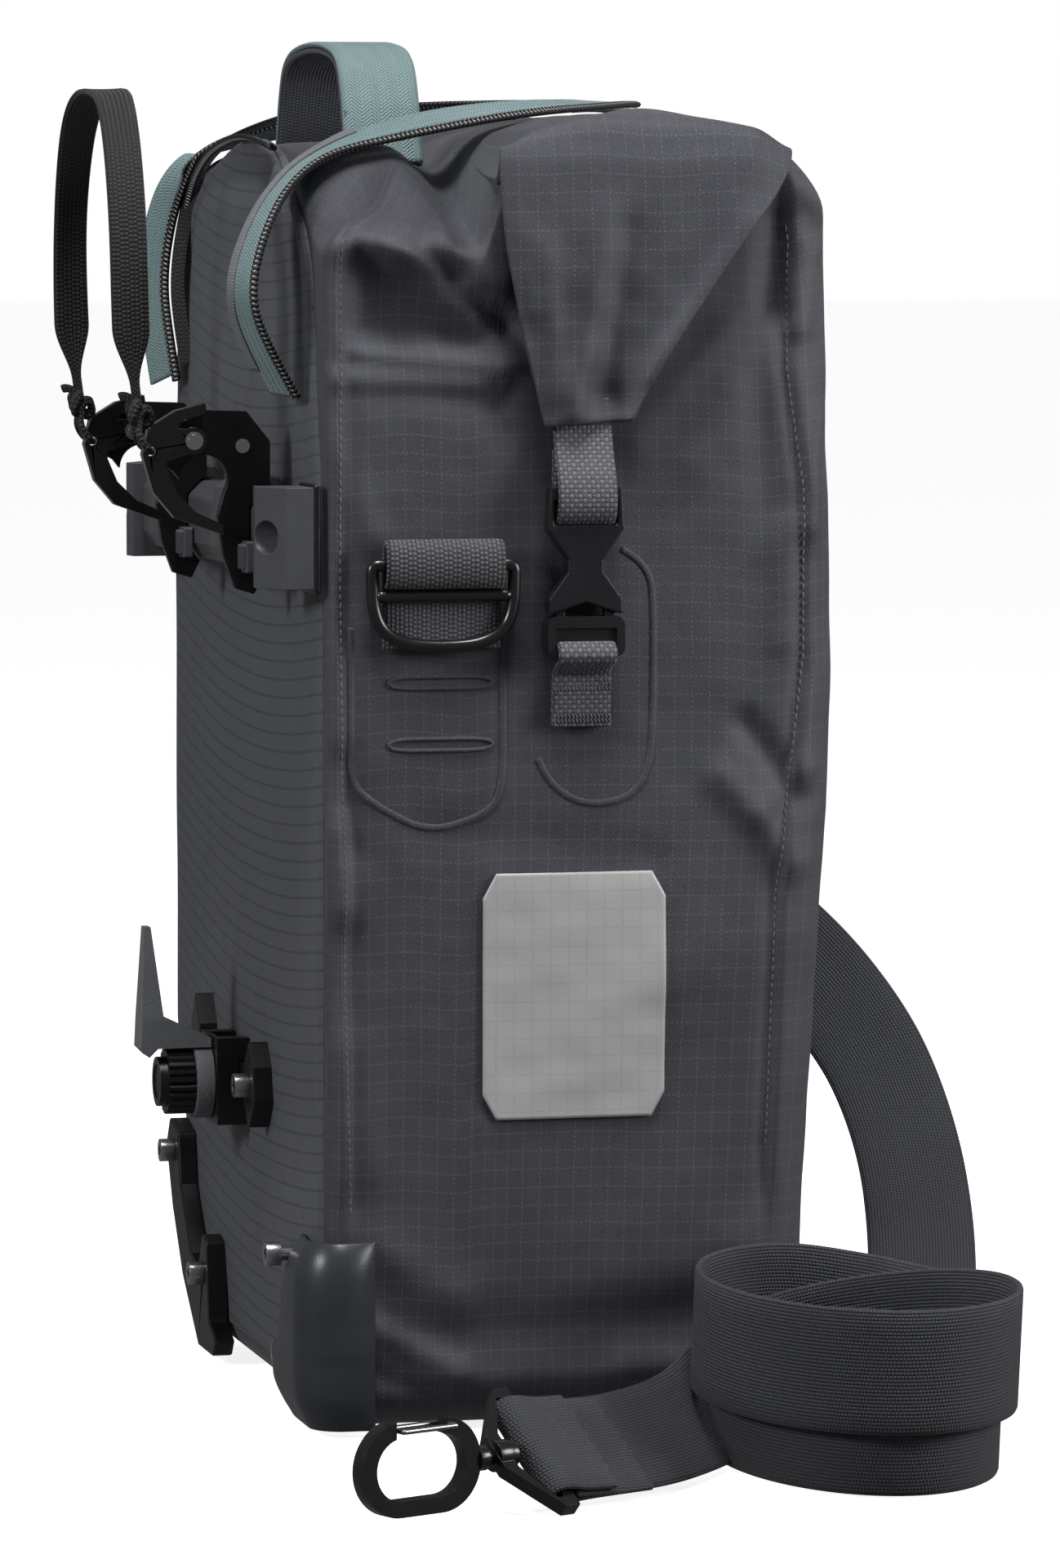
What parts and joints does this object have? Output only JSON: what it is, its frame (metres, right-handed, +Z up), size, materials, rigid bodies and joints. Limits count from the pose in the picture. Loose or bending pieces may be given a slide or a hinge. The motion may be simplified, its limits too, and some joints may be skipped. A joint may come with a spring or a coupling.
{
  "type": "pannier bag",
  "caption": "Roll-top bicycle pannier with rail-mounted rack hooks, lower swivel hook, corner guards, side buckles, rear zip sleeve and clip-on shoulder strap.",
  "frame": {"origin": "on the ground under the middle of the bag, on the bag's flat base", "axes": "+X across the bag towards its far side, +Y towards the bicycle rack, +Z up"},
  "size_m": [0.4829, 0.36, 0.4617],
  "materials": {
    "fabric_side": "coated ripstop",
    "fabric_back": "coated ripstop, lighter",
    "fabric_lining": "lining",
    "webbing_teal": "webbing",
    "webbing_black": "webbing",
    "webbing_grey": "coarse webbing",
    "webbing_strap": "webbing",
    "zip_black": "coil chain",
    "reflective": "reflective film",
    "bolt_steel": "stainless",
    "black_metal": "black coated",
    "gate_wire": "wire",
    "plastic_rail": "textured",
    "plastic_black": "satin",
    "plastic_guard": "satin",
    "board": "sheet",
    "plastic_gloss": "gloss",
    "plastic_hook": "satin",
    "plastic_arm": "textured"
  },
  "bodies": {
    "bag": {"back_board": "board", "back_panel": "fabric_back", "base_board": "board", "bridge_bolts": "bolt_steel", "buckle_female_far": "plastic_black", "buckle_female_near": "plastic_black", "carry_handle": "webbing_teal", "closure_stiffener": "board", "corner_guard_near": "plastic_guard", "dring_tabs": "webbing_grey", "guard_bolts": "bolt_steel", "heel_guard_far": "plastic_guard", "inner_nuts": "bolt_steel", "inner_patches": "fabric_lining", "lower_bridge": "plastic_black", "lower_webbing": "webbing_grey", "main_shell": "fabric_side", "mounting_rail": "plastic_rail", "rail_caps": "plastic_rail", "rail_plates": "plastic_black", "rail_screws": "bolt_steel", "rear_lid": "fabric_back", "reflectors": "reflective", "roll_ends": "fabric_side", "rolled_top": "fabric_side", "sleeve_divider": "fabric_lining", "snap_bow_far": "plastic_black", "snap_bow_near": "plastic_black", "snap_gate_far": "gate_wire", "snap_ring_far": "plastic_black", "strap_coil": "webbing_strap", "strap_loops": "webbing_strap", "strap_rise": "webbing_strap", "strap_tail": "webbing_strap", "zip_chains": "zip_black", "zip_end_tab": "webbing_teal", "zip_tapes": "webbing_teal"},
    "hook_near": {"hook_plate_near": "plastic_hook", "hook_grip_near": "plastic_rail", "hook_rivets_near": "bolt_steel"},
    "hook_far": {"hook_plate_far": "plastic_hook", "hook_grip_far": "plastic_rail", "hook_rivets_far": "bolt_steel"},
    "lever_near": {"lever_near": "plastic_gloss", "pull_knot_near": "webbing_black"},
    "lever_far": {"lever_far": "plastic_gloss", "pull_knot_far": "webbing_black"},
    "pull_strap": {"pull_strap": "webbing_black"},
    "hook_carriage": {"hook_carriage": "plastic_black"},
    "hook_arm": {"hook_arm": "plastic_arm"},
    "lock_knob": {"lock_knob": "plastic_black"},
    "buckle_near": {"buckle_male_near": "plastic_black", "upper_webbing_near": "webbing_grey"},
    "buckle_far": {"buckle_male_far": "plastic_black", "upper_webbing_far": "webbing_grey"},
    "d_ring_near": {"d_ring_near": "black_metal"},
    "d_ring_far": {"d_ring_far": "black_metal"},
    "snap_hook": {"snap_ring_near": "plastic_black"},
    "snap_gate": {"snap_gate_near": "gate_wire"}
  },
  "joints": [
    {"name": "hook_near_slide", "type": "slide", "parent": "bag", "child": "hook_near", "axis": [1, 0, 0], "range_m": [-0.008, 0.03]},
    {"name": "hook_far_slide", "type": "slide", "parent": "bag", "child": "hook_far", "axis": [1, 0, 0], "range_m": [-0.008, 0.03]},
    {"name": "lever_near_open", "type": "hinge", "parent": "hook_near", "child": "lever_near", "pos_m": [-0.089, 0.121, 0.3285], "axis": [1, 0, 0], "range_deg": [0, 35]},
    {"name": "lever_far_open", "type": "hinge", "parent": "hook_far", "child": "lever_far", "pos_m": [0.024, 0.121, 0.3285], "axis": [1, 0, 0], "range_deg": [0, 35]},
    {"name": "pull_strap_lift", "type": "slide", "parent": "hook_near", "child": "pull_strap", "axis": [0, 0, 1], "range_m": [0, 0.0086], "stiffness_N_per_m": 10, "springref_m": -0.01},
    {"name": "carriage_slide", "type": "slide", "parent": "bag", "child": "hook_carriage", "axis": [1, 0, 0], "range_m": [-0.015, 0.022]},
    {"name": "hook_arm_swivel", "type": "hinge", "parent": "hook_carriage", "child": "hook_arm", "pos_m": [-0.004, 0.102, 0.104], "axis": [0, 1, 0], "range_deg": [-90, 90]},
    {"name": "lock_knob_turn", "type": "hinge", "parent": "hook_carriage", "child": "lock_knob", "pos_m": [-0.004, 0.11, 0.104], "axis": [0, 1, 0], "continuous": true},
    {"name": "buckle_near_release", "type": "slide", "parent": "bag", "child": "buckle_near", "axis": [0, 0, 1], "range_m": [0, 0.016]},
    {"name": "buckle_far_release", "type": "slide", "parent": "bag", "child": "buckle_far", "axis": [0, 0, 1], "range_m": [0, 0.016]},
    {"name": "d_ring_near_swing", "type": "hinge", "parent": "bag", "child": "d_ring_near", "pos_m": [-0.1418, 0.0462, 0.2885], "axis": [0, 1, 0], "range_deg": [0, 100]},
    {"name": "d_ring_far_swing", "type": "hinge", "parent": "bag", "child": "d_ring_far", "pos_m": [0.1418, 0.0462, 0.2885], "axis": [0, 1, 0], "range_deg": [-6, 6]},
    {"name": "snap_hook_swivel", "type": "hinge", "parent": "bag", "child": "snap_hook", "pos_m": [-0.299, 0.09, 0.0176], "axis": [-0.4202, 0.9074, 0], "continuous": true},
    {"name": "snap_gate_open", "type": "hinge", "parent": "snap_hook", "child": "snap_gate", "pos_m": [-0.29396, 0.07911, 0.0296], "axis": [0.9074, 0.4202, 0], "range_deg": [-24, 0], "stiffness_Nm_per_rad": 0.01, "springref_deg": 11.46}
  ],
  "couplings": [
    {"joint": "hook_far_slide", "follows": "hook_near_slide", "ratio": 1},
    {"joint": "lever_near_open", "follows": "pull_strap_lift", "rad_per_m": 70.57},
    {"joint": "lever_far_open", "follows": "pull_strap_lift", "rad_per_m": 70.57}
  ]
}
